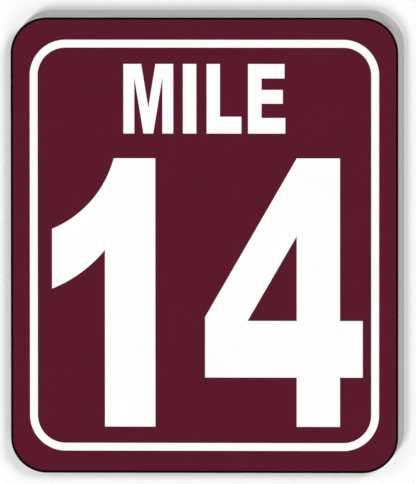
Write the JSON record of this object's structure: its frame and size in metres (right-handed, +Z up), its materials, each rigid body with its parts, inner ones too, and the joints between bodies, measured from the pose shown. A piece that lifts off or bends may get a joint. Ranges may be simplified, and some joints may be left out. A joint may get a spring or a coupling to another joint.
{
  "type": "mile marker sign",
  "caption": "Upright mile marker sign: a rounded aluminium blank faced with maroon sheeting, with a black rim line, a white border line and a cut white word and numerals.",
  "frame": {"origin": "centre of the blank's flat back, where the sign is fixed to its post or wall", "axes": "+Z up along the sign's height, +X to the right as the face is read, -Y the way the face looks"},
  "size_m": [0.216, 0.0034, 0.254],
  "materials": {
    "blank": "mill finish on the back, sheared and deburred edges",
    "ground_film": "maroon sign sheeting, smooth satin surface",
    "edge_film": "black cut film, satin",
    "legend_film": "white cut film, satin"
  },
  "bodies": {
    "root": {"panel": "blank", "ground_sheet": "ground_film", "edge_line": "edge_film", "border_line": "legend_film", "letter_m": "legend_film", "letter_i": "legend_film", "letter_l": "legend_film", "letter_e": "legend_film", "numeral_1": "legend_film", "numeral_4": "legend_film"}
  },
  "joints": []
}
